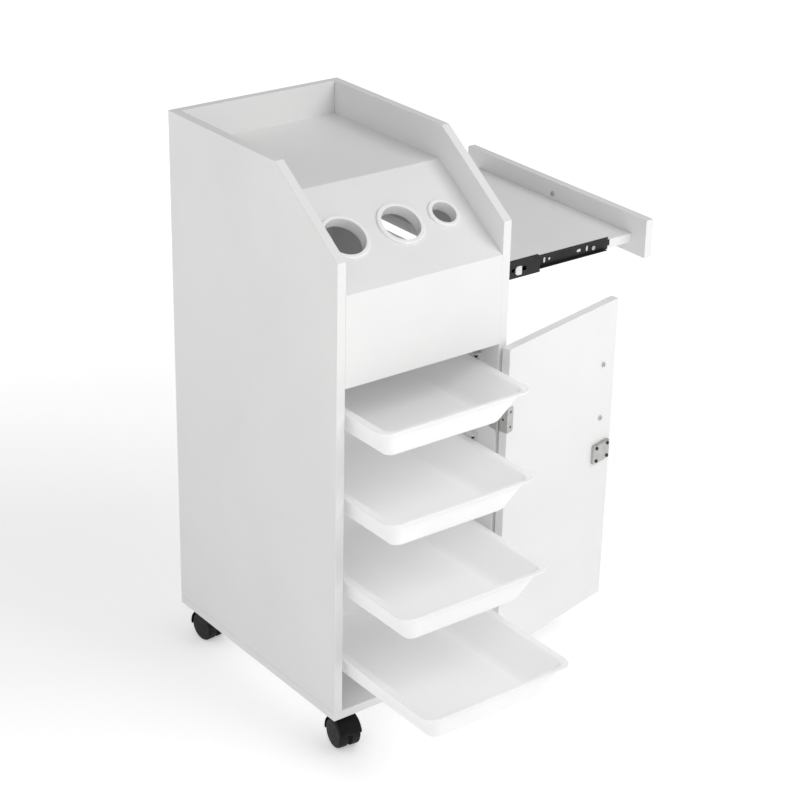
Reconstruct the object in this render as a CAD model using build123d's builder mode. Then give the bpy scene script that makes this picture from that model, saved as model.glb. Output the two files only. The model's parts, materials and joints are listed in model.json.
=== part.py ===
from build123d import *
import math
import os

os.makedirs("parts", exist_ok=True)

# ---------------------------------------------------------------- driving dimensions, mm
WIDTH = 320.0            # outer faces of the side panels
DEPTH = 450.0            # front edges to rear face
HEIGHT = 875.0           # underside of the base panel to the top of the side panels
BOARD = 15.0             # board thickness
EDGE = 0.8               # small edge rounding on the boards

SIDE_SHOULDER_Y = 156.0  # where the side panel's top edge starts to slope
SIDE_NOSE_Z = 766.0      # height of the side panel at its front edge
TOP_SHELF_Z = 821.0      # upper face of the top shelf
SLOPE_BREAK_Y = 159.5    # where the sloped panel meets the top shelf
SLOPE_NOSE_Z = 714.0     # front lower edge of the sloped panel's upper face
FRONT_PANEL_Z = 568.0    # lower edge of the fixed front panel

RING_ALONG = 95.0        # centre of the tool holders, up the slope from its lower edge
RINGS = [("holder_liner_left", 69.0, 33.0, 40.0),
         ("holder_liner_middle", 171.0, 31.5, 39.0),
         ("holder_liner_right", 252.0, 19.5, 26.5)]
LINER_WALL = 2.5
LINER_DEPTH = 16.0
LINER_FLANGE = 3.5

SHELF_Z = 661.0          # underside of the side shelf
SHELF_INSET = 32.5       # shelf edge behind the front face, and ahead of the rear face
SHELF_LENGTH = 268.0
SHELF_OUT = 280.0        # end panel's inner face beyond the right side panel
END_PANEL_Z = 643.0
END_PANEL_H = 64.0
SLOT_Z = 655.0           # slot in the right side panel
SLOT_H = 37.0
SLOT_INSET = 18.0
KNOB_LENGTH = 15.0
KNOB_Z = 686.0

SLIDE_Z = 671.0          # centre height of the ball-bearing slides
SLIDE_FACE = 20.0        # back of the outer member behind the front face
SHEET = 1.2
OUTER_H = 35.0
MIDDLE_H = 27.0
INNER_H = 20.0

DOOR_ANGLE = 12.5        # door beyond 180 degrees
PIN_FORWARD = 3.0        # hinge axis ahead of the front edges
DOOR_GAP = 2.0
DOOR_WIDTH = 286.5
DOOR_BOTTOM = 17.0
DOOR_TOP = 564.0
HINGE_SPAN = 43.0
HINGE_HEIGHTS = [444.0, 137.0]
LEAF = 0.9
HANDLE_Z = 408.0
HANDLE_PITCH = 96.0
HANDLE_FROM_PIN = 256.5
LOCK_Z = 298.0
LOCK_U = 238.5
LOCK_W = 43.0
LOCK_H = 34.0
LOCK_T = 6.0
CYLINDER_U = 250.0

TRAY_W = 284.0           # across the flanges
TRAY_L = 385.0
TRAY_DEPTH = 42.0
TRAY_WALL = 2.5
TRAY_FLANGE = 11.0       # flange beyond the walls, at the sides
TRAY_FRONT_FLANGE = 6.0  # the same at the front and rear
TRAY_LIP = 3.0
TRAY_CORNER = 22.0
TRAY_DRAFT = 3.0         # each wall's inward lean over the tray's depth
TRAY_SLANT = 46.0        # the right wall's lean
TRAYS = [("tray_1", 527.0, -92.0),
         ("tray_2", 387.0, -112.0),
         ("tray_3", 247.0, -152.0),
         ("tray_4", 107.0, -216.0)]
RAIL_FRONT = 41.0
RAIL_TOP = 12.0          # runner's upper edge over the tray rim
RAIL_REAR = 425.0

CASTER_H = 60.0
CASTER_TRAIL = 18.0
WHEEL_R = 25.0
WHEEL_W = 16.0
CASTERS = [("front_left", 31.0, 33.0, -97.0),
           ("front_right", 289.0, 33.0, -80.0),
           ("rear_left", 31.0, 430.0, -85.0),
           ("rear_right", 289.0, 430.0, -102.0)]

# cabinet corner (left outer face, front edges, underside of base) in the shared frame
X0 = -(WIDTH + SHELF_OUT + BOARD + KNOB_LENGTH) / 2
Y0 = -(TRAYS[3][2] + DEPTH) / 2
Z0 = CASTER_H

SLOPE = math.atan2(TOP_SHELF_Z - SLOPE_NOSE_Z, SLOPE_BREAK_Y)
SLOPE_PLANE = Plane(origin=(X0, Y0, Z0 + SLOPE_NOSE_Z), x_dir=(1, 0, 0),
                    z_dir=(0, -math.sin(SLOPE), math.cos(SLOPE)))
OPEN = math.radians(DOOR_ANGLE)
DOOR = Plane(origin=(X0 + WIDTH - BOARD, Y0 - PIN_FORWARD, Z0),
             x_dir=(math.cos(OPEN), math.sin(OPEN), 0), z_dir=(0, 0, 1))


def save(part, name):
    part.label = name
    export_step(part, f"parts/{name}.step")


def level(x, y, z):
    """Horizontal plane at a cabinet point."""
    return Plane(origin=(X0 + x, Y0 + y, Z0 + z), x_dir=(1, 0, 0), z_dir=(0, 0, 1))


def facing_right(x, y, z):
    """Plane whose normal points to +X, local x to the back and local y up."""
    return Plane(origin=(X0 + x, Y0 + y, Z0 + z), x_dir=(0, 1, 0), z_dir=(1, 0, 0))


def facing_front(x, y, z):
    """Plane whose normal points to the front, local x to the right and local y up."""
    return Plane(origin=(X0 + x, Y0 + y, Z0 + z), x_dir=(1, 0, 0), z_dir=(0, -1, 0))


def door_point(u, v, z):
    return DOOR.from_local_coords(Vector(u, v, z))


def door_level(z):
    return Plane(origin=door_point(0, 0, z), x_dir=DOOR.x_dir, z_dir=(0, 0, 1))


def door_facing_out(u, v, z):
    """Plane on the door, normal away from its inner face, local x along the door."""
    return Plane(origin=door_point(u, v, z), x_dir=-DOOR.x_dir, z_dir=DOOR.y_dir)


def add_block(x0, x1, y0, y1, z0, z1, mode=Mode.ADD):
    """Rectangular block between cabinet coordinates, in the current part."""
    with Locations((X0 + (x0 + x1) / 2, Y0 + (y0 + y1) / 2, Z0 + (z0 + z1) / 2)):
        Box(x1 - x0, y1 - y0, z1 - z0, mode=mode)


# ---------------------------------------------------------------- cabinet boards
SIDE_OUTLINE = [(0, BOARD), (DEPTH, BOARD), (DEPTH, HEIGHT), (SIDE_SHOULDER_Y, HEIGHT),
                (0, SIDE_NOSE_Z)]


def make_left_side():
    with BuildPart() as left_side_panel:
        with BuildSketch(facing_right(0, 0, 0)):
            with BuildLine():
                Polyline(*SIDE_OUTLINE, close=True)
            make_face()
        extrude(amount=BOARD)
        fillet(left_side_panel.edges(), EDGE)
        # pocket for the lock bolt
        add_block(BOARD - 5, BOARD + 1, 14.5, 20.7, LOCK_Z - 6, LOCK_Z + 6, Mode.SUBTRACT)
    save(left_side_panel.part, "left_side_panel")


def make_right_side():
    with BuildPart() as right_side_panel:
        with BuildSketch(facing_right(WIDTH - BOARD, 0, 0)):
            with BuildLine():
                Polyline(*SIDE_OUTLINE, close=True)
            make_face()
        extrude(amount=BOARD)
        fillet(right_side_panel.edges(), EDGE)
        add_block(WIDTH - BOARD - 1, WIDTH + 1, SLOT_INSET, DEPTH - SLOT_INSET,
                  SLOT_Z, SLOT_Z + SLOT_H, Mode.SUBTRACT)
    save(right_side_panel.part, "right_side_panel")


def make_plain_board(name, x0, x1, y0, y1, z0, z1):
    with BuildPart() as board:
        add_block(x0, x1, y0, y1, z0, z1)
        fillet(board.edges(), EDGE)
    save(board.part, name)


def make_profile_board(name, points):
    """Board between the side panels from its outline in the depth and height plane."""
    with BuildPart() as board:
        with BuildSketch(facing_right(BOARD, 0, 0)):
            with BuildLine():
                Polyline(*points, close=True)
            make_face()
        extrude(amount=WIDTH - 2 * BOARD)
    save(board.part, name)


def slope_under(y):
    """Height of the sloped panel's underside at depth y."""
    return SLOPE_NOSE_Z + y * math.tan(SLOPE) - BOARD / math.cos(SLOPE)


def make_top_shelf():
    under = TOP_SHELF_Z - BOARD
    mitre = (under - slope_under(0)) / math.tan(SLOPE)
    make_profile_board("top_shelf", [
        (SLOPE_BREAK_Y, TOP_SHELF_Z), (DEPTH - BOARD, TOP_SHELF_Z),
        (DEPTH - BOARD, under), (mitre, under)])


def make_front_panel():
    make_profile_board("front_fixed_panel", [
        (0, FRONT_PANEL_Z), (BOARD, FRONT_PANEL_Z), (BOARD, slope_under(BOARD)),
        (0, SLOPE_NOSE_Z)])


def make_holder_panel():
    under = TOP_SHELF_Z - BOARD
    mitre = (under - slope_under(0)) / math.tan(SLOPE)
    with BuildPart() as sloped_holder_panel:
        with BuildSketch(facing_right(BOARD, 0, 0)):
            with BuildLine():
                Polyline((0, SLOPE_NOSE_Z), (BOARD, slope_under(BOARD)), (mitre, under),
                         (SLOPE_BREAK_Y, TOP_SHELF_Z), close=True)
            make_face()
        extrude(amount=WIDTH - 2 * BOARD)
        for name, x, inner, flange in RINGS:
            with BuildSketch(SLOPE_PLANE.offset(1)):
                with Locations((x, RING_ALONG)):
                    Circle(inner + LINER_WALL + 0.3)
            extrude(amount=-(BOARD + 2), mode=Mode.SUBTRACT)
    save(sloped_holder_panel.part, "sloped_holder_panel")


def make_liner(name, x, inner, flange):
    """Flanged plastic tube standing through the sloped panel, open at both ends."""
    with BuildPart() as liner:
        with BuildSketch(SLOPE_PLANE):
            with Locations((x, RING_ALONG)):
                Circle(flange)
        extrude(amount=LINER_FLANGE)
        with BuildSketch(SLOPE_PLANE):
            with Locations((x, RING_ALONG)):
                Circle(inner + LINER_WALL)
        extrude(amount=-LINER_DEPTH)
        rim = liner.edges().filter_by(GeomType.CIRCLE).group_by(SortBy.RADIUS)[-1]
        fillet(rim.sort_by(Axis(SLOPE_PLANE.origin, SLOPE_PLANE.z_dir))[-1], 2.4)
        with BuildSketch(SLOPE_PLANE.offset(LINER_FLANGE)):
            with Locations((x, RING_ALONG)):
                Circle(inner)
        extrude(amount=-(LINER_FLANGE + LINER_DEPTH), mode=Mode.SUBTRACT)
        mouth = liner.edges().filter_by(GeomType.CIRCLE)
        mouth = mouth.filter_by(lambda e: abs(e.radius - inner) < 0.01)
        upper = mouth.sort_by(Axis(SLOPE_PLANE.origin, SLOPE_PLANE.z_dir))[-1]
        fillet(upper, 1.0)
    save(liner.part, name)


# ---------------------------------------------------------------- side shelf and its slides
def make_end_panel():
    x0 = WIDTH + SHELF_OUT
    with BuildPart() as end_panel:
        add_block(x0, x0 + BOARD, 0, DEPTH, END_PANEL_Z, END_PANEL_Z + END_PANEL_H)
        fillet(end_panel.edges(), EDGE)
        with BuildSketch(facing_right(x0 - 1, DEPTH / 2, KNOB_Z)):
            Circle(2.3)
        extrude(amount=BOARD + 2, mode=Mode.SUBTRACT)
    save(end_panel.part, "end_panel")


def make_knob():
    x0 = WIDTH + SHELF_OUT + BOARD
    axis = Axis((X0 + x0, Y0 + DEPTH / 2, Z0 + KNOB_Z), (1, 0, 0))
    with BuildPart() as end_knob:
        with BuildSketch(facing_front(x0, DEPTH / 2, KNOB_Z)):
            with BuildLine():
                Polyline((0, 0), (0, 7), (1.5, 7), (3, 4.6), (7.5, 4.2), (10, 7.8), (11, 9),
                         (13.5, 9), (KNOB_LENGTH, 7.5), (KNOB_LENGTH, 0), close=True)
            make_face()
        revolve(axis=axis)
        with BuildSketch(facing_right(x0, DEPTH / 2, KNOB_Z)):
            Circle(2.05)
        extrude(amount=9, mode=Mode.SUBTRACT)
    save(end_knob.part, "end_knob")


def make_knob_screw():
    x0 = WIDTH + SHELF_OUT
    with BuildPart() as knob_screw:
        with BuildSketch(facing_right(x0 - 2.4, DEPTH / 2, KNOB_Z)):
            Circle(4)
        extrude(amount=2.4)
        fillet(knob_screw.edges().sort_by(Axis.X)[0], 1.2)
        with BuildSketch(facing_right(x0, DEPTH / 2, KNOB_Z)):
            Circle(2.0)
        extrude(amount=BOARD + 8)
        with BuildSketch(facing_right(x0 - 2.4, DEPTH / 2, KNOB_Z)):
            Rectangle(4.6, 0.9)
            Rectangle(0.9, 4.6)
        extrude(amount=1.2, mode=Mode.SUBTRACT)
    save(knob_screw.part, "knob_screw")


def channel(x0, x1, web, flange_end, height):
    """C-shaped sheet-metal member along X, its web at depth web, drawn for the front slide."""
    thick = SHEET if flange_end > web else -SHEET
    add_block(x0, x1, min(web, web + thick), max(web, web + thick),
              SLIDE_Z - height / 2, SLIDE_Z + height / 2)
    low, high = min(web, flange_end), max(web, flange_end)
    add_block(x0, x1, low, high, SLIDE_Z + height / 2 - SHEET, SLIDE_Z + height / 2)
    add_block(x0, x1, low, high, SLIDE_Z - height / 2, SLIDE_Z - height / 2 + SHEET)


def web_slot(x, width, tall):
    """Slot through the webs, wide in X and tall in Z."""
    with BuildSketch(facing_front(x, SLIDE_FACE - 2, SLIDE_Z)) as slot:
        if abs(width - tall) < 0.1:
            Circle(width / 2)
        elif width > tall:
            SlotOverall(width, tall)
        else:
            SlotOverall(tall, width, rotation=90)
    extrude(slot.sketch, amount=-30, mode=Mode.SUBTRACT)


def save_pair(front, name):
    """Save the front slide's piece and its mirror image for the rear slide."""
    save(front, f"{name}_front")
    middle = Plane(origin=(0, Y0 + DEPTH / 2, 0), x_dir=(1, 0, 0), z_dir=(0, 1, 0))
    save(mirror(front, about=middle), f"{name}_rear")


def make_slides():
    with BuildPart() as spacer:
        add_block(24, 300, BOARD, SLIDE_FACE, SLIDE_Z - 17, SLIDE_Z + 17)
    save_pair(spacer.part, "slide_spacer")
    with BuildPart() as outer:
        channel(24, 300, SLIDE_FACE, SLIDE_FACE + 11, OUTER_H)
        for x in (45, 110, 160, 210, 280):
            web_slot(x, 9, 4.6)
    save_pair(outer.part, "slide_outer")
    with BuildPart() as middle:
        channel(166, 401, SLIDE_FACE + 3.4, SLIDE_FACE + 11, MIDDLE_H)
        for x in (190, 240, 290):
            web_slot(x, 14, 5)
        web_slot(347, 6.5, 6.5)
        add_block(363.5, 373.5, SLIDE_FACE + 3, SLIDE_FACE + 6, SLIDE_Z - 4, SLIDE_Z + 3,
                  Mode.SUBTRACT)
    save_pair(middle.part, "slide_middle")
    with BuildPart() as clip:
        add_block(351, 363, SLIDE_FACE + 1.5, SLIDE_FACE + 3.4, SLIDE_Z - 8.5, SLIDE_Z + 5.5)
        corners = clip.edges().filter_by(Axis.Y).group_by(Axis.X)
        fillet(corners[0], 5)
        fillet(clip.edges().filter_by(Axis.Y).group_by(Axis.X)[-1], 1.2)
    save_pair(clip.part, "slide_stop")
    with BuildPart() as inner:
        channel(332, 548, SHELF_INSET, SLIDE_FACE + 5.4, INNER_H)
        web_slot(417, 5, 9.5)
        web_slot(427, 5.2, 5.2)
        web_slot(488, 9.5, 5.5)
        web_slot(505, 5, 9.5)
        # tongue at the tip, between the cut ends of the flanges
        add_block(547, 552, SHELF_INSET - SHEET, SHELF_INSET, SLIDE_Z - 4.5, SLIDE_Z + 5)
        for z0, z1 in ((-11, -5), (6, 11)):
            add_block(542, 549, SLIDE_FACE + 5, SLIDE_FACE + 11, SLIDE_Z + z0, SLIDE_Z + z1,
                      Mode.SUBTRACT)
    save_pair(inner.part, "slide_inner")


def wood_screw(plane, head, shank, length, tall):
    """Dome-headed cross-recess screw: head stands on the plane, shank goes below it."""
    with BuildSketch(plane) as disc:
        Circle(head)
    extrude(disc.sketch, amount=tall)
    with BuildSketch(plane) as core:
        Circle(shank)
    extrude(core.sketch, amount=-length)
    with BuildSketch(plane.offset(tall)) as cross:
        Rectangle(head * 1.1, 0.8)
        Rectangle(0.8, head * 1.1)
    extrude(cross.sketch, amount=-tall * 0.6, mode=Mode.SUBTRACT)


def make_shelf_screws():
    front = SHELF_INSET - SHEET
    with BuildPart() as shelf_screws:
        for x in (345, 517):
            wood_screw(facing_front(x, front, SLIDE_Z - 1.5), 3.4, 1.5, 12, 1.6)
            back = Plane(origin=(X0 + x, Y0 + DEPTH - front, Z0 + SLIDE_Z - 1.5),
                         x_dir=(-1, 0, 0), z_dir=(0, 1, 0))
            wood_screw(back, 3.4, 1.5, 12, 1.6)
    save(shelf_screws.part, "shelf_screws")


# ---------------------------------------------------------------- door
def door_block(u0, u1, v0, v1, z0, z1, mode=Mode.ADD):
    with BuildSketch(door_level(z0)) as outline:
        with Locations(((u0 + u1) / 2, (v0 + v1) / 2)):
            Rectangle(u1 - u0, v1 - v0)
    extrude(outline.sketch, amount=z1 - z0, mode=mode)


V_IN = -(BOARD + PIN_FORWARD)      # door's inner face, across the door from the pin
V_OUT = -PIN_FORWARD               # door's outer face


def make_door_panel():
    with BuildPart() as door_panel:
        door_block(DOOR_GAP, DOOR_GAP + DOOR_WIDTH, V_IN, V_OUT, DOOR_BOTTOM, DOOR_TOP)
        fillet(door_panel.edges(), EDGE)
        for side in (-1, 1):
            z = HANDLE_Z + side * HANDLE_PITCH / 2
            with BuildSketch(door_facing_out(HANDLE_FROM_PIN, V_IN - 1, z)):
                Circle(2.3)
            extrude(amount=BOARD + 2, mode=Mode.SUBTRACT)
        with BuildSketch(door_facing_out(CYLINDER_U, V_IN - 1, LOCK_Z)):
            Circle(8.2)
        extrude(amount=BOARD + 2, mode=Mode.SUBTRACT)
    save(door_panel.part, "door_panel")


def make_handle():
    reach = 22.0
    with BuildPart() as door_handle:
        with BuildSketch(door_level(HANDLE_Z - 66)):
            with Locations((HANDLE_FROM_PIN, V_OUT + reach)):
                Circle(6)
        extrude(amount=132)
        fillet(door_handle.edges().filter_by(GeomType.CIRCLE), 1.5)
        for side in (-1, 1):
            z = HANDLE_Z + side * HANDLE_PITCH / 2
            with BuildSketch(door_facing_out(HANDLE_FROM_PIN, V_OUT, z)):
                Circle(5)
            extrude(amount=reach)
        for side in (-1, 1):
            z = HANDLE_Z + side * HANDLE_PITCH / 2
            with BuildSketch(door_facing_out(HANDLE_FROM_PIN, V_OUT, z)):
                Circle(2.05)
            extrude(amount=10, mode=Mode.SUBTRACT)
    save(door_handle.part, "door_handle")


def make_handle_screws():
    with BuildPart() as handle_screws:
        for side in (-1, 1):
            z = HANDLE_Z + side * HANDLE_PITCH / 2
            with BuildSketch(door_facing_out(HANDLE_FROM_PIN, V_IN - 2.2, z)):
                Circle(4)
            extrude(amount=2.2)
            with BuildSketch(door_facing_out(HANDLE_FROM_PIN, V_IN, z)):
                Circle(2.0)
            extrude(amount=BOARD + 9)
            with BuildSketch(door_facing_out(HANDLE_FROM_PIN, V_IN - 2.2, z)):
                Rectangle(4.6, 0.9)
                Rectangle(0.9, 4.6)
            extrude(amount=1.2, mode=Mode.SUBTRACT)
    save(handle_screws.part, "handle_screws")


def make_lock():
    case_out = V_IN - LOCK_T
    z0, z1 = LOCK_Z - LOCK_H / 2, LOCK_Z + LOCK_H / 2
    holes = [(u, z) for u in (LOCK_U + 6.5, LOCK_U + LOCK_W - 6.5)
             for z in (LOCK_Z - 11.5, LOCK_Z + 11.5)]
    with BuildPart() as lock_case:
        door_block(LOCK_U, LOCK_U + LOCK_W, case_out, V_IN, z0, z1)
        across = Axis((0, 0, 0), DOOR.y_dir)
        fillet(lock_case.edges().filter_by(across), 2.5)
        chamfer(lock_case.faces().sort_by(across)[0].edges(), 1.1)
        # bolt channel and the cylinder tail's pocket
        door_block(LOCK_U + 18, LOCK_U + LOCK_W + 1, V_IN - 4.2, V_IN - 0.4,
                   LOCK_Z - 5.2, LOCK_Z + 5.2, Mode.SUBTRACT)
        with BuildSketch(door_facing_out(CYLINDER_U, V_IN, LOCK_Z)):
            Circle(6)
        extrude(amount=-1.5, mode=Mode.SUBTRACT)
        for u, z in holes:
            with BuildSketch(door_facing_out(u, case_out - 1, z)):
                Circle(1.7)
            extrude(amount=LOCK_T + 2, mode=Mode.SUBTRACT)
    save(lock_case.part, "lock_case")

    with BuildPart() as lock_bolt:
        door_block(LOCK_U + 20, LOCK_U + LOCK_W, V_IN - 4.1, V_IN - 0.5,
                   LOCK_Z - 5.1, LOCK_Z + 5.1)
    save(lock_bolt.part, "lock_bolt")

    with BuildPart() as lock_case_screws:
        for u, z in holes:
            face = Plane(origin=door_point(u, case_out, z), x_dir=DOOR.x_dir,
                         z_dir=-DOOR.y_dir)
            wood_screw(face, 3.0, 1.6, LOCK_T + 9, 1.4)
    save(lock_case_screws.part, "lock_case_screws")

    with BuildPart() as lock_housing:
        with BuildSketch(door_facing_out(CYLINDER_U, V_IN, LOCK_Z)):
            Circle(8)
        extrude(amount=BOARD)
        with BuildSketch(door_facing_out(CYLINDER_U, V_OUT, LOCK_Z)):
            Circle(10.5)
        extrude(amount=2)
        with BuildSketch(door_facing_out(CYLINDER_U, V_IN - 1, LOCK_Z)):
            Circle(5.6)
        extrude(amount=BOARD + 4, mode=Mode.SUBTRACT)
    save(lock_housing.part, "lock_housing")

    with BuildPart() as lock_plug:
        with BuildSketch(door_facing_out(CYLINDER_U, V_IN - 1.2, LOCK_Z)):
            Circle(5.55)
        extrude(amount=BOARD + 3.0)
        with BuildSketch(door_facing_out(CYLINDER_U, V_OUT + 1.8, LOCK_Z)):
            Rectangle(1.6, 6.5)
        extrude(amount=-9, mode=Mode.SUBTRACT)
    save(lock_plug.part, "lock_plug")

    with BuildPart() as strike_plate:
        add_block(BOARD, BOARD + 0.8, 10.5, 24.7, LOCK_Z - 14, LOCK_Z + 14)
        add_block(BOARD - 1, BOARD + 2, 14.5, 20.7, LOCK_Z - 6, LOCK_Z + 6, Mode.SUBTRACT)
    save(strike_plate.part, "strike_plate")


def knuckle(plane, z0, z1):
    with BuildSketch(plane.offset(z0)) as barrel:
        Circle(2.6)
    extrude(barrel.sketch, amount=z1 - z0)


def make_hinge(name, z):
    half = HINGE_SPAN / 2
    middle = 7.2
    pin_axis = Plane(origin=door_point(0, 0, z), x_dir=(1, 0, 0), z_dir=(0, 0, 1))
    with BuildPart() as door_leaf:
        door_block(DOOR_GAP - LEAF, DOOR_GAP, V_IN - LEAF, -2.9, z - half, z + half)
        door_block(DOOR_GAP - LEAF, 16, V_IN - LEAF, V_IN, z - half, z + half)
        corners = door_leaf.edges().filter_by(Axis((0, 0, 0), DOOR.y_dir))
        fillet(corners.sort_by(Axis((0, 0, 0), DOOR.x_dir))[-2:], 3.2)
        for z0, z1 in ((-half, -middle), (middle, half)):
            door_block(DOOR_GAP - LEAF, DOOR_GAP, -3.0, -1.0, z + z0, z + z1)
            knuckle(pin_axis, z0, z1)
        with BuildSketch(pin_axis.offset(-half - 1)):
            Circle(1.3)
        extrude(amount=HINGE_SPAN + 2, mode=Mode.SUBTRACT)
        for v, u, dz in ((V_IN, 9.5, 13), (V_IN, 9.5, -13)):
            with BuildSketch(door_facing_out(u, V_IN - 2, z + dz)):
                Circle(2.0)
            extrude(amount=3, mode=Mode.SUBTRACT)
        edge = Plane(origin=door_point(-1, -10.5, z), x_dir=(0, 0, 1), z_dir=DOOR.x_dir)
        with BuildSketch(edge):
            Circle(2.0)
        extrude(amount=4, mode=Mode.SUBTRACT)
    save(door_leaf.part, f"hinge_door_leaf_{name}")

    face = WIDTH - BOARD
    with BuildPart() as side_leaf:
        add_block(face - LEAF, face, 0.0, 16, z - half, z + half)
        fillet(side_leaf.edges().filter_by(Axis.X).sort_by(Axis.Y)[-2:], 3.2)
        add_block(face - LEAF, face, -2.0, 0.5, z - middle + 0.2, z + middle - 0.2)
        knuckle(pin_axis, -middle + 0.2, middle - 0.2)
        with BuildSketch(pin_axis.offset(-half)):
            Circle(1.25)
        extrude(amount=HINGE_SPAN, mode=Mode.SUBTRACT)
        for dz in (-13, 13):
            with BuildSketch(facing_right(face - 2, 9, z + dz)):
                Circle(2.0)
            extrude(amount=3, mode=Mode.SUBTRACT)
    save(side_leaf.part, f"hinge_side_leaf_{name}")


def make_hinge_pins():
    with BuildPart() as hinge_pins:
        for z in HINGE_HEIGHTS:
            half = HINGE_SPAN / 2
            axis = Plane(origin=door_point(0, 0, z), x_dir=(1, 0, 0), z_dir=(0, 0, 1))
            with BuildSketch(axis.offset(-half - 0.2)):
                Circle(1.25)
            extrude(amount=HINGE_SPAN + 0.4)
            for end in (-half - 1.2, half + 0.2):
                with BuildSketch(axis.offset(end)):
                    Circle(2.2)
                extrude(amount=1.0)
    save(hinge_pins.part, "hinge_pins")


def flush_screw(plane, length):
    """Countersunk screw lying in a leaf's hole, its head flush with the leaf."""
    with BuildSketch(plane) as disc:
        Circle(2.0)
    extrude(disc.sketch, amount=-LEAF)
    with BuildSketch(plane.offset(-LEAF)) as core:
        Circle(1.4)
    extrude(core.sketch, amount=-length)
    with BuildSketch(plane) as cross:
        Rectangle(2.6, 0.6)
        Rectangle(0.6, 2.6)
    extrude(cross.sketch, amount=-0.5, mode=Mode.SUBTRACT)


def make_hinge_screws():
    with BuildPart() as door_hinge_screws:
        for z in HINGE_HEIGHTS:
            for dz in (-13, 13):
                flush_screw(Plane(origin=door_point(9.5, V_IN - LEAF, z + dz),
                                  x_dir=DOOR.x_dir, z_dir=-DOOR.y_dir), 9)
            flush_screw(Plane(origin=door_point(DOOR_GAP - LEAF, -10.5, z),
                              x_dir=(0, 0, 1), z_dir=-DOOR.x_dir), 9)
    save(door_hinge_screws.part, "door_hinge_screws")
    with BuildPart() as side_hinge_screws:
        for z in HINGE_HEIGHTS:
            for dz in (-13, 13):
                flush_screw(Plane(origin=(X0 + WIDTH - BOARD - LEAF, Y0 + 9, Z0 + z + dz),
                                  x_dir=(0, 1, 0), z_dir=(-1, 0, 0)), 9)
    save(side_hinge_screws.part, "side_hinge_screws")


# ---------------------------------------------------------------- trays and their runners
def tray_plane(front, rim):
    """Downward plane at the middle of a tray's rim."""
    return Plane(origin=(X0 + WIDTH / 2, Y0 + front + TRAY_L / 2, Z0 + rim),
                 x_dir=(1, 0, 0), z_dir=(0, 0, -1))


def tray_outline(front, rim, depth, wall):
    """Rounded outline of the tray's body at a depth below its rim."""
    lean = TRAY_DRAFT * depth / TRAY_DEPTH
    slant = TRAY_SLANT * depth / TRAY_DEPTH
    across = TRAY_W - 2 * TRAY_FLANGE - lean - slant - 2 * wall
    along = TRAY_L - 2 * TRAY_FRONT_FLANGE - 2 * lean - 2 * wall
    with BuildSketch(tray_plane(front, rim).offset(depth)) as outline:
        with Locations(((lean - slant) / 2, 0)):
            RectangleRounded(across, along, TRAY_CORNER - TRAY_FRONT_FLANGE - wall)
    return outline.sketch


def make_tray(name, rim, front):
    wall = TRAY_WALL
    with BuildPart() as tray:
        loft([tray_outline(front, rim, 0, 0), tray_outline(front, rim, TRAY_DEPTH, 0)])
        fillet(tray.faces().sort_by(Axis.Z)[0].edges(), 5)
        with BuildSketch(tray_plane(front, rim)):
            RectangleRounded(TRAY_W, TRAY_L, TRAY_CORNER)
        extrude(amount=TRAY_LIP)
        fillet(tray.faces().sort_by(Axis.Z)[-1].edges(), 1.2)
        loft([tray_outline(front, rim, 0, wall),
              tray_outline(front, rim, TRAY_DEPTH - wall, wall)], mode=Mode.SUBTRACT)
        floor = Z0 + rim - TRAY_DEPTH + wall
        inside = tray.faces().filter_by(Axis.Z)
        inside = inside.filter_by(lambda f: abs(f.center().Z - floor) < 0.05)
        fillet(inside[0].edges(), 4)
        rim_face = tray.faces().filter_by(Axis.Z).sort_by(Axis.Z)[-1]
        fillet(rim_face.inner_wires()[0].edges(), 1.0)
    save(tray.part, name)


def rail_block(y0, y1, web, lip, z0, z1):
    add_block(min(web, lip), max(web, lip), y0, y1, z0, z1)


def make_rails():
    for side, wall, sign in (("left", BOARD, 1), ("right", WIDTH - BOARD, -1)):
        with BuildPart() as rails:
            for name, rim, front in TRAYS:
                rail_block(RAIL_FRONT, RAIL_REAR, wall, wall + sign * 2,
                           rim - 6.5, rim + RAIL_TOP)
                rail_block(RAIL_FRONT, RAIL_REAR, wall, wall + sign * 12,
                           rim - 6.5, rim - TRAY_LIP - 0.5)
                rail_block(RAIL_FRONT, RAIL_REAR, wall, wall + sign * 12,
                           rim + RAIL_TOP - 2, rim + RAIL_TOP)
        save(rails.part, f"tray_rails_{side}")
    with BuildPart() as rail_screws:
        for name, rim, front in TRAYS:
            for y in (RAIL_FRONT + 10, RAIL_REAR - 60):
                for x, turn in ((BOARD + 2, 1), (WIDTH - BOARD - 2, -1)):
                    wall = Plane(origin=(X0 + x, Y0 + y, Z0 + rim + 4), x_dir=(0, 1, 0),
                                 z_dir=(turn, 0, 0))
                    wood_screw(wall, 3.2, 1.5, 12, 1.8)
    save(rail_screws.part, "rail_screws")


# ---------------------------------------------------------------- casters
def caster_plane(x, y, heading, z=0.0):
    """Level plane at a caster's stem, local -y towards its wheels."""
    turn = math.radians(heading)
    back = Vector(-math.cos(turn), -math.sin(turn), 0)
    side = Vector(back.Y, -back.X, 0)
    return Plane(origin=(X0 + x, Y0 + y, Z0 + z), x_dir=side, z_dir=(0, 0, 1))


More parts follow.
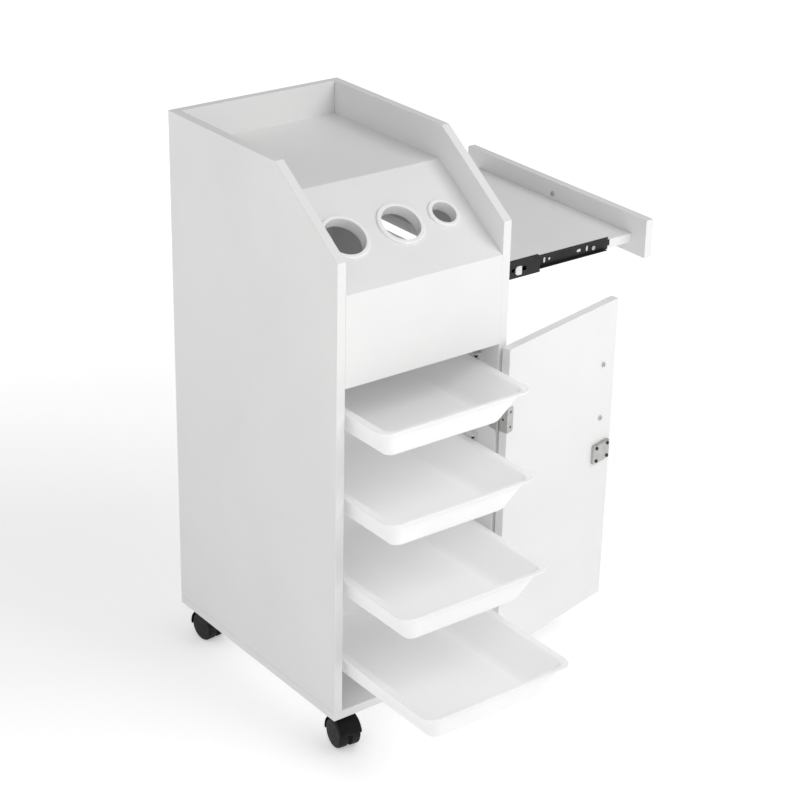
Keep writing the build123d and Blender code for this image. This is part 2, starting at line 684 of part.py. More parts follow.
def make_caster_plates():
    with BuildPart() as caster_plates:
        for name, x, y, heading in CASTERS:
            with BuildSketch(level(x, y, -2.5)):
                RectangleRounded(38, 38, 4)
                with GridLocations(29, 29, 2, 2):
                    Circle(2.0, mode=Mode.SUBTRACT)
            extrude(amount=2.5)
            with BuildSketch(level(x, y, -5.5)):
                Circle(11)
            extrude(amount=3.0)
            with BuildSketch(level(x, y, -14.5)):
                Circle(3.95)
            extrude(amount=9.0)
    save(caster_plates.part, "caster_plates")
    with BuildPart() as caster_screws:
        for name, x, y, heading in CASTERS:
            for dx in (-14.5, 14.5):
                for dy in (-14.5, 14.5):
                    down = Plane(origin=(X0 + x + dx, Y0 + y + dy, Z0 - 2.5),
                                 x_dir=(1, 0, 0), z_dir=(0, 0, -1))
                    wood_screw(down, 3.4, 1.6, 12, 1.5)
    save(caster_screws.part, "caster_screws")


def wheel_side_plane(stem, along):
    """Plane across a caster's axle, at a distance along it from the middle."""
    centre = stem.from_local_coords(Vector(along, -CASTER_TRAIL, WHEEL_R - CASTER_H))
    return Plane(origin=centre, x_dir=stem.y_dir, z_dir=stem.x_dir)


def make_caster(name, x, y, heading):
    stem = caster_plane(x, y, heading)
    half = WHEEL_W + 3.4
    with BuildPart() as hood:
        # fender over the two wheels
        with BuildSketch(wheel_side_plane(stem, -half)):
            Circle(29)
            Circle(26.5, mode=Mode.SUBTRACT)
            with Locations(Location((0, 0), -12)):
                with Locations((0, -20)):
                    Rectangle(70, 40, mode=Mode.SUBTRACT)
        extrude(amount=2 * half)
        fillet(hood.edges().filter_by(GeomType.LINE), 0.9)
        # boss under the swivel plate, cleared above the wheels
        with BuildSketch(stem.offset(-16)):
            Circle(9)
        extrude(amount=16 - 5.8)
        with BuildSketch(wheel_side_plane(stem, -half - 1)):
            Circle(26.5)
        extrude(amount=2 * half + 2, mode=Mode.SUBTRACT)
        # web between the wheels
        with BuildSketch(wheel_side_plane(stem, -3)):
            Circle(27)
            with Locations((0, -20)):
                Rectangle(60, 26, mode=Mode.SUBTRACT)
        extrude(amount=6)
        with BuildSketch(wheel_side_plane(stem, -4)):
            Circle(3.05)
        extrude(amount=8, mode=Mode.SUBTRACT)
        with BuildSketch(stem.offset(-15)):
            Circle(4.0)
        extrude(amount=12, mode=Mode.SUBTRACT)
    save(hood.part, f"caster_hood_{name}")

    with BuildPart() as wheels:
        with BuildSketch(wheel_side_plane(stem, -half)):
            Circle(3.0)
        extrude(amount=2 * half)
        for start in (-half, 3.4):
            with BuildSketch(wheel_side_plane(stem, start)):
                Circle(WHEEL_R)
            extrude(amount=WHEEL_W)
        for edges, radius in ((slice(1, -1), 1.2), (slice(None, None, 3), 4.0)):
            tread = wheels.edges().filter_by(GeomType.CIRCLE)
            tread = tread.filter_by(lambda e: abs(e.radius - WHEEL_R) < 0.01)
            fillet(tread.sort_by(Axis(stem.origin, stem.x_dir))[edges], radius)
    save(wheels.part, f"caster_wheels_{name}")


# ---------------------------------------------------------------- build everything
make_left_side()
make_right_side()
make_plain_board("base_panel", 0, WIDTH, 0, DEPTH, 0, BOARD)
make_plain_board("back_panel", BOARD, WIDTH - BOARD, DEPTH - BOARD, DEPTH, BOARD, HEIGHT)
make_top_shelf()
make_front_panel()
make_holder_panel()
for ring in RINGS:
    make_liner(*ring)

make_plain_board("side_shelf", WIDTH + SHELF_OUT - SHELF_LENGTH, WIDTH + SHELF_OUT,
                 SHELF_INSET, DEPTH - SHELF_INSET, SHELF_Z, SHELF_Z + BOARD)
make_end_panel()
make_knob()
make_knob_screw()
make_slides()
make_shelf_screws()

make_door_panel()
make_handle()
make_handle_screws()
make_lock()
make_hinge("upper", HINGE_HEIGHTS[0])
make_hinge("lower", HINGE_HEIGHTS[1])
make_hinge_pins()
make_hinge_screws()

for tray_spec in TRAYS:
    make_tray(*tray_spec)
make_rails()

make_caster_plates()
for caster_spec in CASTERS:
    make_caster(*caster_spec)
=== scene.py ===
import json
import math

import bmesh
import bpy
from mathutils import Matrix, Vector


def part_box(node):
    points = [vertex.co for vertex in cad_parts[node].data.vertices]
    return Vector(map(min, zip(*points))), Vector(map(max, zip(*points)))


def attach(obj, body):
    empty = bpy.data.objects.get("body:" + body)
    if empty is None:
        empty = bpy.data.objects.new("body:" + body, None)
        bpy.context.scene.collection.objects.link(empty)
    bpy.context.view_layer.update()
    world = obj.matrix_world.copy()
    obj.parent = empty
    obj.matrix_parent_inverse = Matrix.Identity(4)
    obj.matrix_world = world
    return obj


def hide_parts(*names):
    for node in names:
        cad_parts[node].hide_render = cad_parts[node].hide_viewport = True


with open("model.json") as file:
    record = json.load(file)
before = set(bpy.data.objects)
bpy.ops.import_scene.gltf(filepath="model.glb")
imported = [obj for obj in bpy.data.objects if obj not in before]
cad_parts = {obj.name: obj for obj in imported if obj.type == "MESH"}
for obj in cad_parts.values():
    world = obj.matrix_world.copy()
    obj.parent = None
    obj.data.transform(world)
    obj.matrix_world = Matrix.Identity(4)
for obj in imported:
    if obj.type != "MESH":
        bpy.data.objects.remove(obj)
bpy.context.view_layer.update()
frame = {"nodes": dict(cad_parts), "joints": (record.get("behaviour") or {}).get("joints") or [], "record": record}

MM = 0.001
side_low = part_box("left_side_panel")[0]
base_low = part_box("base_panel")[0]
CORNER = Vector((side_low.x, side_low.y, base_low.z))       # cabinet's front left lower corner
JOINTS = {joint["name"]: joint for joint in frame["joints"]}

CAMERA_FROM_CORNER = Vector((-1.6333, -2.2684, 1.8641))
CAMERA_TURN, CAMERA_RISE, CAMERA_ROLL = -37.64, 25.07, 1.23  # degrees
CAMERA_LENS = 95.66
FLOOR_REACH = 60.0                                           # half the floor's side, metres
SURROUNDINGS = 0.44                                          # light from all round


# ---------------------------------------------------------------- camera, floor and light
def place_camera():
    """Three-quarter view from the front left, a little above the top of the cabinet."""
    turn, rise, roll = (math.radians(a) for a in (CAMERA_TURN, CAMERA_RISE, CAMERA_ROLL))
    ahead = Vector((-math.sin(turn) * math.cos(rise), math.cos(turn) * math.cos(rise),
                    -math.sin(rise)))
    right = ahead.cross(Vector((0, 0, 1))).normalized()
    up = right.cross(ahead)
    right, up = (right * math.cos(roll) + up * math.sin(roll),
                 up * math.cos(roll) - right * math.sin(roll))
    camera = bpy.data.objects.new("camera", bpy.data.cameras.new("camera"))
    camera.data.lens = CAMERA_LENS
    camera.data.sensor_width = 36
    camera.data.clip_start = 0.05
    camera.data.clip_end = 100
    pose = Matrix((right, up, -ahead)).transposed().to_4x4()
    pose.translation = CORNER + CAMERA_FROM_CORNER
    camera.matrix_world = pose
    bpy.context.scene.collection.objects.link(camera)
    bpy.context.scene.camera = camera


def softbox(name, turn, rise, power, size=1.8, away=3.2):
    """Square soft light aimed at the trolley, turn degrees to the right of the front."""
    turn, rise = math.radians(turn), math.radians(rise)
    aim = Vector((0, 0, 0.45))
    spot = aim + away * Vector((math.sin(turn) * math.cos(rise),
                                -math.cos(turn) * math.cos(rise), math.sin(rise)))
    lamp = bpy.data.lights.new(name, "AREA")
    lamp.shape = "SQUARE"
    lamp.size = size
    lamp.energy = power
    holder = bpy.data.objects.new(name, lamp)
    holder.location = spot
    holder.rotation_euler = (aim - spot).to_track_quat("-Z", "Y").to_euler()
    bpy.context.scene.collection.objects.link(holder)


def floor_paper():
    """White paper that glows more strongly away from the trolley, like a lit backdrop."""
    paint = bpy.data.materials.new("floor_paper")
    paint.use_nodes = True
    nodes, links = paint.node_tree.nodes, paint.node_tree.links
    shader = nodes["Principled BSDF"]
    shader.inputs["Base Color"].default_value = (0.93, 0.93, 0.93, 1)
    shader.inputs["Roughness"].default_value = 0.9
    shader.inputs["Specular IOR Level"].default_value = 0.2
    shader.inputs["Emission Color"].default_value = (1, 1, 1, 1)
    reach = nodes.new("ShaderNodeVectorMath")
    reach.operation = "LENGTH"
    ramp = nodes.new("ShaderNodeMapRange")
    ramp.interpolation_type = "SMOOTHSTEP"
    for socket, value in (("From Min", 0.7), ("From Max", 2.6), ("To Min", 0.38), ("To Max", 0.66)):
        ramp.inputs[socket].default_value = value
    links.new(nodes.new("ShaderNodeTexCoord").outputs["Object"], reach.inputs[0])
    links.new(reach.outputs["Value"], ramp.inputs["Value"])
    links.new(ramp.outputs["Result"], shader.inputs["Emission Strength"])
    return paint


def studio():
    world = bpy.data.worlds.new("studio")
    world.use_nodes = True
    world.node_tree.nodes["Background"].inputs["Color"].default_value = (1, 1, 1, 1)
    world.node_tree.nodes["Background"].inputs["Strength"].default_value = SURROUNDINGS
    bpy.context.scene.world = world
    softbox("key", turn=25, rise=45, power=41)
    softbox("fill", turn=-60, rise=28, power=8.5)
    mesh = bpy.data.meshes.new("floor")
    corners = [(x * FLOOR_REACH, y * FLOOR_REACH, 0) for x, y in ((-1, -1), (1, -1), (1, 1), (-1, 1))]
    mesh.from_pydata(corners, [], [(0, 1, 2, 3)])
    floor = bpy.data.objects.new("floor", mesh)
    mesh.materials.append(floor_paper())
    bpy.context.scene.collection.objects.link(floor)
    view = bpy.context.scene.view_settings
    view.view_transform = "Standard"
    view.look = "None"
    view.exposure = 0.0
    view.gamma = 1.0


# ---------------------------------------------------------------- materials
class Finish:
    """A material with short calls for the nodes used here. Lengths are in metres."""

    def __init__(self, name, rough, metallic=0.0, level=0.5):
        self.material = bpy.data.materials.new(name)
        self.material.use_nodes = True
        self.tree = self.material.node_tree
        self.shader = self.tree.nodes["Principled BSDF"]
        self.shader.inputs["Roughness"].default_value = rough
        self.shader.inputs["Metallic"].default_value = metallic
        self.shader.inputs["Specular IOR Level"].default_value = level
        self.place = self.tree.nodes.new("ShaderNodeTexCoord").outputs["Object"]

    def link(self, output, socket):
        self.tree.links.new(output, socket)

    def stretched(self, x, y, z):
        node = self.tree.nodes.new("ShaderNodeMapping")
        node.inputs["Scale"].default_value = (x, y, z)
        self.link(self.place, node.inputs["Vector"])
        return node.outputs["Vector"]

    def cloud(self, size, detail=2.0, rough=0.5, place=None):
        """Noise whose blotches are about size metres across."""
        node = self.tree.nodes.new("ShaderNodeTexNoise")
        node.inputs["Scale"].default_value = 1.0 / size
        node.inputs["Detail"].default_value = detail
        node.inputs["Roughness"].default_value = rough
        self.link(place or self.place, node.inputs["Vector"])
        return node.outputs["Fac"]

    def cells(self, size, place=None):
        node = self.tree.nodes.new("ShaderNodeTexVoronoi")
        node.inputs["Scale"].default_value = 1.0 / size
        self.link(place or self.place, node.inputs["Vector"])
        return node.outputs["Distance"]

    def span(self, value, low, high, start=0.3, end=0.7):
        node = self.tree.nodes.new("ShaderNodeMapRange")
        node.inputs["From Min"].default_value = start
        node.inputs["From Max"].default_value = end
        node.inputs["To Min"].default_value = low
        node.inputs["To Max"].default_value = high
        self.link(value, node.inputs["Value"])
        return node.outputs["Result"]

    def maths(self, kind, first, second):
        node = self.tree.nodes.new("ShaderNodeMath")
        node.operation = kind
        for socket, value in zip(node.inputs, (first, second)):
            if isinstance(value, (int, float)):
                socket.default_value = value
            else:
                self.link(value, socket)
        return node.outputs["Value"]

    def colours(self, value, low, high, start=0.3, end=0.7):
        node = self.tree.nodes.new("ShaderNodeValToRGB")
        node.color_ramp.elements[0].position = start
        node.color_ramp.elements[1].position = end
        node.color_ramp.elements[0].color = (*low, 1)
        node.color_ramp.elements[1].color = (*high, 1)
        self.link(value, node.inputs["Fac"])
        return node.outputs["Color"]

    def relief(self, height, strength, depth, under=None):
        node = self.tree.nodes.new("ShaderNodeBump")
        node.inputs["Strength"].default_value = strength
        node.inputs["Distance"].default_value = depth
        self.link(height, node.inputs["Height"])
        if under is not None:
            self.link(under, node.inputs["Normal"])
        return node.outputs["Normal"]

    def finish(self, colour, rough=None, normal=None):
        self.link(colour, self.shader.inputs["Base Color"])
        if rough is not None:
            self.link(rough, self.shader.inputs["Roughness"])
        if normal is not None:
            self.link(normal, self.shader.inputs["Normal"])
        return self.material


def white_laminate(name, tone=0.80):
    """Satin white melamine: fine pearl texture, faint waviness and handling marks."""
    f = Finish(name, 0.42, level=0.45)
    wide = f.cloud(0.22, 3.0, 0.55)
    colour = f.colours(wide, (tone, tone, tone), (tone + 0.035, tone + 0.035, tone + 0.03))
    smudge = f.cloud(0.05, 5.0, 0.62)
    rough = f.span(smudge, 0.36, 0.50)
    pearl = f.relief(f.cloud(0.0011, 2.0, 0.5), 0.10, 0.00015)
    wavy = f.relief(f.cloud(0.018, 1.0, 0.4), 0.06, 0.0004, under=pearl)
    return f.finish(colour, rough, wavy)


def white_plastic(name, tone=0.84, rough=0.30, grain=0.0006, glow=0.10, painted_glow=0.0):
    """Injection-moulded white plastic: a soft sheen, light eggshell grain and slight depth.

    glow is its subsurface weight. The emission strength is light of its own: a painted glow that evenly lightens
    the plastic, standing in for the light that thin plastic lets by.
    """
    f = Finish(name, rough, level=0.5)
    f.shader.inputs["Subsurface Weight"].default_value = glow
    f.shader.inputs["Subsurface Radius"].default_value = (0.004, 0.004, 0.004)
    f.shader.inputs["Subsurface Scale"].default_value = 1.0
    # painted glow: emission that lights the plastic though it is no lamp
    f.shader.inputs["Emission Color"].default_value = (1, 1, 1, 1)
    f.shader.inputs["Emission Strength"].default_value = painted_glow
    flow = f.cloud(0.09, 3.0, 0.5, f.stretched(1.0, 0.45, 1.0))
    colour = f.colours(flow, (tone, tone, tone), (tone + 0.03, tone + 0.03, tone + 0.027))
    gloss = f.span(f.cloud(0.03, 4.0, 0.6), rough - 0.05, rough + 0.07)
    eggshell = f.relief(f.cloud(grain, 2.0, 0.5), 0.10, 0.0001)
    sink = f.relief(f.cloud(0.035, 1.0, 0.4), 0.08, 0.0006, under=eggshell)
    return f.finish(colour, gloss, sink)


def black_coat(name):
    """Black electro-coated steel: fine texture, drawn lines and a few bright rubs."""
    f = Finish(name, 0.42, level=0.28)
    drawn = f.cloud(0.0016, 3.0, 0.6, f.stretched(0.04, 1.0, 1.0))
    rub = f.maths("MULTIPLY", f.span(f.cloud(0.02, 4.0, 0.7), 0.0, 1.0, 0.56, 0.68),
                  f.span(drawn, 0.0, 1.0, 0.45, 0.62))
    colour = f.colours(rub, (0.012, 0.012, 0.013), (0.050, 0.049, 0.048), 0.0, 1.0)
    rough = f.span(f.cloud(0.012, 4.0, 0.6), 0.34, 0.52)
    peel = f.relief(f.cloud(0.0009, 2.0, 0.5), 0.16, 0.0001)
    lines = f.relief(drawn, 0.12, 0.00008, under=peel)
    return f.finish(colour, rough, lines)


def plated(name, tone, rough, along="z", lines=0.0005, warm=0.0):
    """Plated steel with fine brushing along one axis and soft tarnish blotches."""
    f = Finish(name, rough, metallic=1.0)
    scale = {"x": (0.03, 1, 1), "y": (1, 0.03, 1), "z": (1, 1, 0.03)}[along]
    brush = f.cloud(lines, 4.0, 0.7, f.stretched(*scale))
    stain = f.cloud(0.012, 4.0, 0.6)
    dark = tuple(tone * 0.86 * (1 + warm * k) for k in (1, 0.3, -1))
    light = tuple(min(1.0, tone * 1.06 * (1 + warm * k)) for k in (1, 0.3, -1))
    colour = f.colours(stain, dark, light, 0.32, 0.7)
    gloss = f.maths("ADD", f.span(brush, rough - 0.08, rough + 0.08),
                    f.span(stain, 0.0, 0.05))
    normal = f.relief(brush, 0.10, 0.00005)
    return f.finish(colour, gloss, normal)


def black_nylon(name, tone=0.018, rough=0.42, dust=0.02):
    """Moulded black nylon: spark-eroded grain, worn sheen and a trace of dust."""
    f = Finish(name, rough, level=0.2)
    settled = f.cloud(0.014, 5.0, 0.65)
    colour = f.colours(settled, (tone, tone, tone * 1.03),
                       (tone + dust, tone + dust, tone + dust * 0.95), 0.42, 0.8)
    gloss = f.span(f.cloud(0.006, 4.0, 0.6), rough - 0.10, rough + 0.12)
    grain = f.relief(f.cells(0.0007), 0.22, 0.0001)
    return f.finish(colour, gloss, grain)


FINISH = {
    "white_board": white_laminate("white_laminate"),
    # the trays carry a painted glow that lightens their shaded insides
    "tray_plastic": white_plastic("tray_white", 0.73, 0.38, painted_glow=0.185),
    "holder_plastic": white_plastic("holder_white", 0.86, 0.24, 0.0005, 0.06),
    "runner_plastic": white_plastic("runner_white", 0.78, 0.40, 0.0008, 0.05),
    "stop_plastic": white_plastic("stop_white", 0.72, 0.35, 0.0005, 0.05),
    "black_slide": black_coat("black_coat"),
    "screw_zinc": plated("zinc_plate", 0.55, 0.32, "x", 0.0004, 0.01),
    "screw_black": black_coat("black_oxide"),
    "hinge_steel": plated("satin_nickel_hinge", 0.50, 0.42, "z", 0.0005, 0.01),
    "lock_nickel": plated("satin_nickel_lock", 0.52, 0.42, "x", 0.0005, 0.015),
    "handle_metal": plated("brushed_handle", 0.62, 0.28, "z", 0.0005, 0.01),
    "caster_plate_steel": plated("caster_plate_zinc", 0.5, 0.38, "x", 0.0006),
    "caster_plastic": black_nylon("caster_black", 0.004, 0.55, 0.002),
    "caster_tread": black_nylon("wheel_black", 0.008, 0.52, 0.006),
}


def paint_cad_nodes():
    slots = {part["node"]: part["material_slot"] for part in frame["record"]["subparts"]}
    for name, piece in frame["nodes"].items():
        finish = FINISH[slots[name]]
        if not piece.material_slots:
            piece.data.materials.append(finish)
        for index in range(len(piece.material_slots)):
            piece.material_slots[index].material = finish


# ---------------------------------------------------------------- mesh helpers
def new_piece(name, points, faces, slot, body, smooth=True):
    """Mesh object in the shared frame, painted with a record slot's finish, riding a body."""
    mesh = bpy.data.meshes.new(name)
    mesh.from_pydata([tuple(p) for p in points], [], faces)
    mesh.validate()
    work = bmesh.new()
    work.from_mesh(mesh)
    bmesh.ops.remove_doubles(work, verts=work.verts, dist=1e-6)
    bmesh.ops.recalc_face_normals(work, faces=work.faces)
    work.to_mesh(mesh)
    work.free()
    for face in mesh.polygons:
        face.use_smooth = smooth
    mesh.materials.append(FINISH[slot])
    piece = bpy.data.objects.new(name, mesh)
    bpy.context.scene.collection.objects.link(piece)
    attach(piece, body)
    return piece


def even_normals(piece):
    modifier = piece.modifiers.new("even_normals", "WEIGHTED_NORMAL")
    modifier.keep_sharp = True
    modifier.weight = 80


def arc(cx, cy, radius, start, end, steps):
    """Points on an arc, angles in degrees."""
    points = []
    for i in range(steps + 1):
        angle = math.radians(start + (end - start) * i / steps)
        points.append((cx + radius * math.cos(angle), cy + radius * math.sin(angle)))
    return points


def rounded_ring(half_x, half_y, radius, corner_steps=8, side_steps=6):
    """Points round a rounded rectangle, with points along its straight sides too."""
    corners = ((1, 1, 0), (-1, 1, 90), (-1, -1, 180), (1, -1, 270))
    ring = []
    for k, (sx, sy, start) in enumerate(corners):
        cx, cy = sx * (half_x - radius), sy * (half_y - radius)
        bend = arc(cx, cy, radius, start, start + 90, corner_steps)
        nx, ny, nstart = corners[(k + 1) % 4]
        first = arc(nx * (half_x - radius), ny * (half_y - radius), radius, nstart,
                    nstart + 90, corner_steps)[0]
        ring.extend(bend)
        last = bend[-1]
        for i in range(1, side_steps):
            t = i / side_steps
            ring.append((last[0] + (first[0] - last[0]) * t, last[1] + (first[1] - last[1]) * t))
    return ring


def bands(rows, count):
    """Faces joining each closed ring of count points to the next."""
    faces = []
    for k in range(rows - 1):
        for i in range(count):
            j = (i + 1) % count
            faces.append((k * count + i, k * count + j, (k + 1) * count + j, (k + 1) * count + i))
    return faces


def loft_rings(rings):
    """Points and faces joining closed rings of equal length, capped at both ends."""
    count = len(rings[0])
    points = [p for ring in rings for p in ring]
    faces = bands(len(rings), count)
    faces.append(tuple(reversed(range(count))))
    faces.append(tuple((len(rings) - 1) * count + i for i in range(count)))
    return points, faces


def lathe(profile, place, steps=64):
    """Surface of revolution about local x from (along, radius) points, closed on its axis."""
    rings = []
    for along, radius in profile:
        ring = []
        for i in range(steps):
            angle = 2 * math.pi * i / steps
            ring.append(place @ Vector((along, radius * math.cos(angle), radius * math.sin(angle))))
        rings.append(ring)
    return loft_rings(rings)


def join(parts):
    """One point and face list from several."""
    points, faces = [], []
    for some_points, some_faces in parts:
        shift = len(points)
        points.extend(some_points)
        faces.extend(tuple(i + shift for i in face) for face in some_faces)
    return points, faces


# ---------------------------------------------------------------- trays
SIDE_FLANGE = 11.0       # mm beyond the walls at the sides
FRONT_FLANGE = 6.0       # the same at the front and rear
FLANGE_CORNER = 22.0     # corner radius round the flange
UPRIGHT_LEAN = 3.0       # how far the upright walls lean in over the tray's depth
RIGHT_LEAN = 46.0        # the right wall's lean
TRAY_DEPTH = 42.0        # rim to underside
TRAY_WALL = 2.5
TRAY_LIP = 3.0           # thickness of the flange
FLOOR_ROUND = 6.0        # radius between walls and floor


def tray_profile():
    """(share of the flange's width, further inset, height from the rim) round the section."""
    bend = FLOOR_ROUND - TRAY_DEPTH
    rows = [(1, inset, -TRAY_DEPTH) for inset in (80, 40, 14, 7.5)]
    rows += [(1, inset, z) for inset, z in arc(FLOOR_ROUND, bend, FLOOR_ROUND, 270, 180, 7)]
    rows += [(1, 0, -26), (1, 0, -15), (1, 0, -5.6), (0.97, 0, -4.2), (0.88, 0, -3.3)]
    rows += [(0.62, 0, -TRAY_LIP), (0.3, 0, -TRAY_LIP)]
    rows += [(0, inset, z)
             for inset, z in arc(TRAY_LIP / 2, -TRAY_LIP / 2, TRAY_LIP / 2, 270, 90, 8)]
    rows += [(0.32, 0, 0.0), (0.68, 0, 0.0)]
    rows += [(1, inset, z) for inset, z in arc(0.0, -TRAY_WALL, TRAY_WALL, 90, 0, 6)]
    rows += [(1, TRAY_WALL, z) for z in (-10, -20, -29)]
    rows += [(1, inset, z) for inset, z in arc(TRAY_WALL + FLOOR_ROUND, TRAY_WALL + bend,
                                               FLOOR_ROUND, 180, 270, 7)]
    return rows + [(1, inset, TRAY_WALL - TRAY_DEPTH) for inset in (10, 16, 40, 80)]


def make_tray(node):
    """Tray with upright walls, but its right wall leans well in towards the floor."""
    low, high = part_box(node)
    middle = (low + high) / 2
    half_x, half_y = (high.x - low.x) / 2 / MM, (high.y - low.y) / 2 / MM
    depth = (high.z - low.z) / MM
    rings = []
    for share, inset, height in tray_profile():
        down = -height / depth
        left = share * (SIDE_FLANGE + UPRIGHT_LEAN * down) + inset
        right = share * (SIDE_FLANGE + RIGHT_LEAN * down) + inset
        front = share * (FRONT_FLANGE + UPRIGHT_LEAN * down) + inset
        radius = max(4.0, FLANGE_CORNER - FRONT_FLANGE * share - inset)
        ring = []
        for x, y in rounded_ring(half_x - (left + right) / 2, half_y - front, radius):
            ring.append(Vector((middle.x + (x + (left - right) / 2) * MM, middle.y + y * MM,
                                high.z + height * MM)))
        rings.append(ring)
    points, faces = loft_rings(rings)
    piece = new_piece(node + "_moulding", points, faces, "tray_plastic", node)
    even_normals(piece)
    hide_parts(node)


# ---------------------------------------------------------------- casters
WHEEL_RADIUS = 25.0      # mm, as are all the caster's profiles
WHEEL_INNER, WHEEL_OUTER = 3.5, 19.35  # faces of one wheel from the caster's middle
INNER_ROUND, OUTER_ROUND = 1.2, 4.0    # radii of the wheel's inner and outer tread edges
FENDER_INSIDE = 26.55
FENDER_MIDDLE = 27.4     # radius to which the fender thins at its lips
BOSS_FOOT = 26.9         # radius about the axle that the boss's foot follows
PIN_HOLE = 4.1           # radius of the swivel pin's hole


def caster_place(name):
    """Local x along the axle, local y back to the stem, local z up, at the wheel centre."""
    roll = JOINTS[f"wheels_{name}_roll"]
    swivel = JOINTS[f"caster_{name}_swivel"]
    centre, axle = Vector(roll["pos_m"]), Vector(roll["axis"]).normalized()
    up = Vector((0, 0, 1))
    back = up.cross(axle)
    trail = (Vector(swivel["pos_m"]) - centre).dot(back)
    place = Matrix((axle, back, up)).transposed().to_4x4() @ Matrix.Scale(MM, 4)
    place.translation = centre
    return place, trail / MM


def wheel_profile(side):
    """(along the axle, radius) of one wheel from its inner face to its smooth hub cap."""
    inner, outer = WHEEL_INNER, WHEEL_OUTER
    rows = [(inner, 0.0), (inner, 5.0), (inner, 8.0), (inner + 1.2, 9.0), (inner + 1.2, 19.5),
            (inner, 20.5), (inner, WHEEL_RADIUS - INNER_ROUND)]
    rows += [(inner + INNER_ROUND - INNER_ROUND * math.cos(a),
              WHEEL_RADIUS - INNER_ROUND + INNER_ROUND * math.sin(a))
             for a in (0.4, 0.8, 1.2, 1.57)]
    rows += [(8.5, WHEEL_RADIUS), (11.2, WHEEL_RADIUS), (11.4, WHEEL_RADIUS - 0.2),
             (11.6, WHEEL_RADIUS), (14.8, WHEEL_RADIUS - 0.03)]
    rows += [(outer - 4.4 + OUTER_ROUND * math.sin(a),
              WHEEL_RADIUS - OUTER_ROUND + OUTER_ROUND * math.cos(a))
             for a in (0.15, 0.45, 0.75, 1.05, 1.35, 1.57)]
    rows += [(outer - 0.3, 18.0), (outer - 0.15, 13.0), (outer - 0.05, 9.0), (outer, 6.4),
             (outer - 0.25, 6.1), (outer - 0.25, 5.7), (outer, 5.4), (outer, 0.0)]
    return [(side * along, radius) for along, radius in rows]


def hood_shell(place):
    """Fender over both wheels: rounded shoulders, swept down to lips front and rear."""
    across = [(-19.3, 26.6), (-19.35, 27.3), (-18.9, 28.0), (-17.6, 28.6), (-14.0, 28.9),
              (-7.0, 28.97), (0.0, 29.0), (7.0, 28.97), (14.0, 28.9), (17.6, 28.6),
              (18.9, 28.0), (19.35, 27.3), (19.3, 26.6)]
    across += [(x, FENDER_INSIDE) for x in (17.4, 10.0, 0.0, -10.0, -17.4)]
    rings = []
    first, last, steps = -10.5, 166.0, 40
    for k in range(steps + 1):
        angle = math.radians(first + (last - first) * k / steps)
        ends = min(k, steps - k)
        thin = (0.35, 0.75, 0.92, 1.0)[min(ends, 3)]
        ring = []
        for x, radius in across:
            r = FENDER_MIDDLE + (radius - FENDER_MIDDLE) * thin
            squeeze = 1.0 - 0.05 * (1 - thin)
            ring.append(place @ Vector((x * squeeze, r * math.cos(angle), r * math.sin(angle))))
        rings.append(ring)
    return loft_rings(rings)


def hood_web(place):
    """Web between the wheels with the axle boss."""
    outline = arc(0, 0, 26.8, -8, 172, 30)
    outline += [(-18.0, -2.0), (-11.5, -5.6)]
    outline += arc(0, 0, 9.0, 215, 325, 10)
    outline += [(14.0, -5.4), (21.0, -4.6)]
    rings = []
    for x, inset in ((-2.8, 0.5), (-2.3, 0.0), (2.3, 0.0), (2.8, 0.5)):
        ring = []
        for y, z in outline:
            length = math.hypot(y, z)
            keep = (length - inset) / length
            ring.append(place @ Vector((x, y * keep, z * keep)))
        rings.append(ring)
    return loft_rings(rings)


def hood_boss(place, trail):
    """Round socket on the hood that takes the swivel pin."""
    profile = [(27.0, 9.8), (27.8, 9.2), (28.5, 8.95), (29.0, 8.6), (29.15, 8.0), (29.15, PIN_HOLE)]
    points = []
    steps = 40
    foot = [(18.5, 9.0), (23.0, 9.6)]
    rows = foot + profile + [(19.5, PIN_HOLE)]
    for height, radius in rows:
        for i in range(steps):
            angle = 2 * math.pi * i / steps
            y = trail + radius * math.sin(angle)
            x = radius * math.cos(angle)
            z = height
            if height < 26.5:
                z = max(height, math.sqrt(BOSS_FOOT ** 2 - min(abs(y), 26.8) ** 2) - 0.2)
            points.append(place @ Vector((x, y, z)))
    faces = bands(len(rows), steps)
    for i in range(steps):
        j = (i + 1) % steps
        last = (len(rows) - 1) * steps
        faces.append((last + i, last + j, j, i))
    return points, faces


def make_caster(name):
    place, trail = caster_place(name)
    shell = new_piece(f"caster_fender_{name}", *hood_shell(place), "caster_plastic",
                      f"caster_{name}")
    web = new_piece(f"caster_web_{name}", *hood_web(place), "caster_plastic", f"caster_{name}")
    boss = new_piece(f"caster_boss_{name}", *hood_boss(place, trail), "caster_plastic",
                     f"caster_{name}")
    for piece in (shell, web, boss):
        even_normals(piece)
    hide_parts(f"caster_hood_{name}")
    parts = []
    for side in (-1, 1):
        parts.append(lathe(wheel_profile(side), place))
    parts.append(lathe([(-3.6, 0.5), (-3.6, 2.95), (3.6, 2.95), (3.6, 0.5)], place, 32))
    wheels = new_piece(f"twin_wheels_{name}", *join(parts), "caster_tread", f"wheels_{name}")
    even_normals(wheels)
    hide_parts(f"caster_wheels_{name}")


# ---------------------------------------------------------------- slide ball cages
SHEET = 1.2 * MM         # thickness of the slide's members
CAGE_HALF = 1.5 * MM     # half the cage's width
BALL_PITCH = 6.5 * MM
CAGE_FROM_END = 6 * MM   # end of a ball row from the end of the member round it


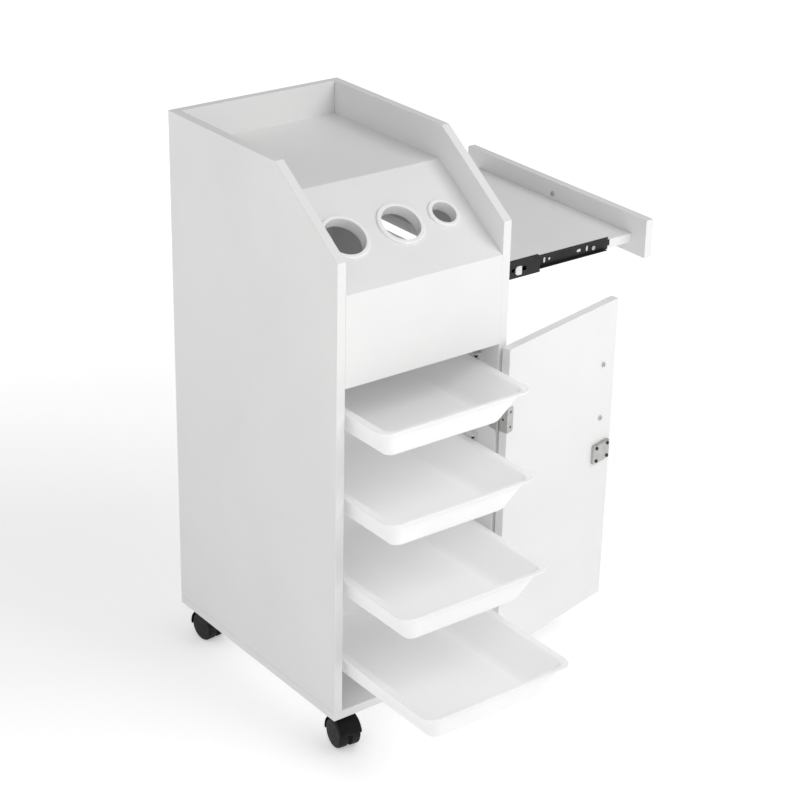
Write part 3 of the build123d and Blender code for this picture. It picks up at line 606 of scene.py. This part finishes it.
def ball(centre, radius, rows=8, steps=12):
    points, faces = [centre + Vector((0, 0, -radius))], []
    for k in range(1, rows):
        tilt = math.pi * k / rows - math.pi / 2
        for i in range(steps):
            angle = 2 * math.pi * i / steps
            points.append(centre + radius * Vector((math.cos(tilt) * math.cos(angle),
                                                    math.cos(tilt) * math.sin(angle),
                                                    math.sin(tilt))))
    points.append(centre + Vector((0, 0, radius)))
    top = len(points) - 1
    for i in range(steps):
        j = (i + 1) % steps
        faces.append((0, 1 + j, 1 + i))
        for k in range(rows - 2):
            a, b = 1 + k * steps, 1 + (k + 1) * steps
            faces.append((a + i, a + j, b + j, b + i))
        base = 1 + (rows - 2) * steps
        faces.append((base + i, base + j, top))
    return points, faces


def cage_strip(x0, x1, y0, y1, z, half):
    """Thin bevelled strip that holds a row of balls."""
    rings = []
    for x, grow in ((x0, -0.15), (x0 + 0.3 * MM, 0.0), (x1 - 0.3 * MM, 0.0), (x1, -0.15)):
        ring = []
        for y, up in ((y0, -half), (y0, half), (y1, half), (y1, -half)):
            cy = (y0 + y1) / 2
            ring.append(Vector((x, cy + (y - cy) * (1 + grow), z + up * (1 + grow))))
        rings.append(ring)
    return loft_rings(rings)


def make_cages(which):
    """Ball rows between the members of one slide; they travel with the middle member."""
    outer_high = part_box(f"slide_outer_{which}")[1]
    mid_low, mid_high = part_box(f"slide_middle_{which}")
    in_low, in_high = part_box(f"slide_inner_{which}")
    centre = (mid_low.z + mid_high.z) / 2
    rows = []
    gap_in = ((mid_high.z - SHEET) + in_high.z) / 2 - centre
    rows.append((in_low.x + 9 * MM, mid_high.x - CAGE_FROM_END, gap_in,
                 ((mid_high.z - SHEET) - in_high.z) / 2))
    gap_out = ((outer_high.z - SHEET) + mid_high.z) / 2 - centre
    rows.append((mid_low.x + 35 * MM, outer_high.x - CAGE_FROM_END, gap_out,
                 ((outer_high.z - SHEET) - mid_high.z) / 2))
    y = (max(mid_low.y, in_low.y) + min(mid_high.y, in_high.y)) / 2
    balls, strips = [], []
    for x0, x1, rise, gap in rows:
        for sign in (-1, 1):
            z = centre + sign * rise
            strips.append(cage_strip(x0, x1, y - CAGE_HALF, y + CAGE_HALF, z, 0.3 * MM))
            count = max(3, int((x1 - x0) / BALL_PITCH))
            for i in range(count):
                x = x0 + (x1 - x0) * (i + 0.5) / count
                balls.append(ball(Vector((x, y, z)), gap * 0.93))
    new_piece(f"slide_balls_{which}", *join(balls), "screw_zinc", "slide_middles")
    new_piece(f"slide_cage_{which}", *join(strips), "screw_zinc", "slide_middles", smooth=False)


# ---------------------------------------------------------------- build
place_camera()
studio()
paint_cad_nodes()
for number in (1, 2, 3, 4):
    make_tray(f"tray_{number}")
for corner in ("front_left", "front_right", "rear_left", "rear_right"):
    make_caster(corner)
for end in ("front", "rear"):
    make_cages(end)
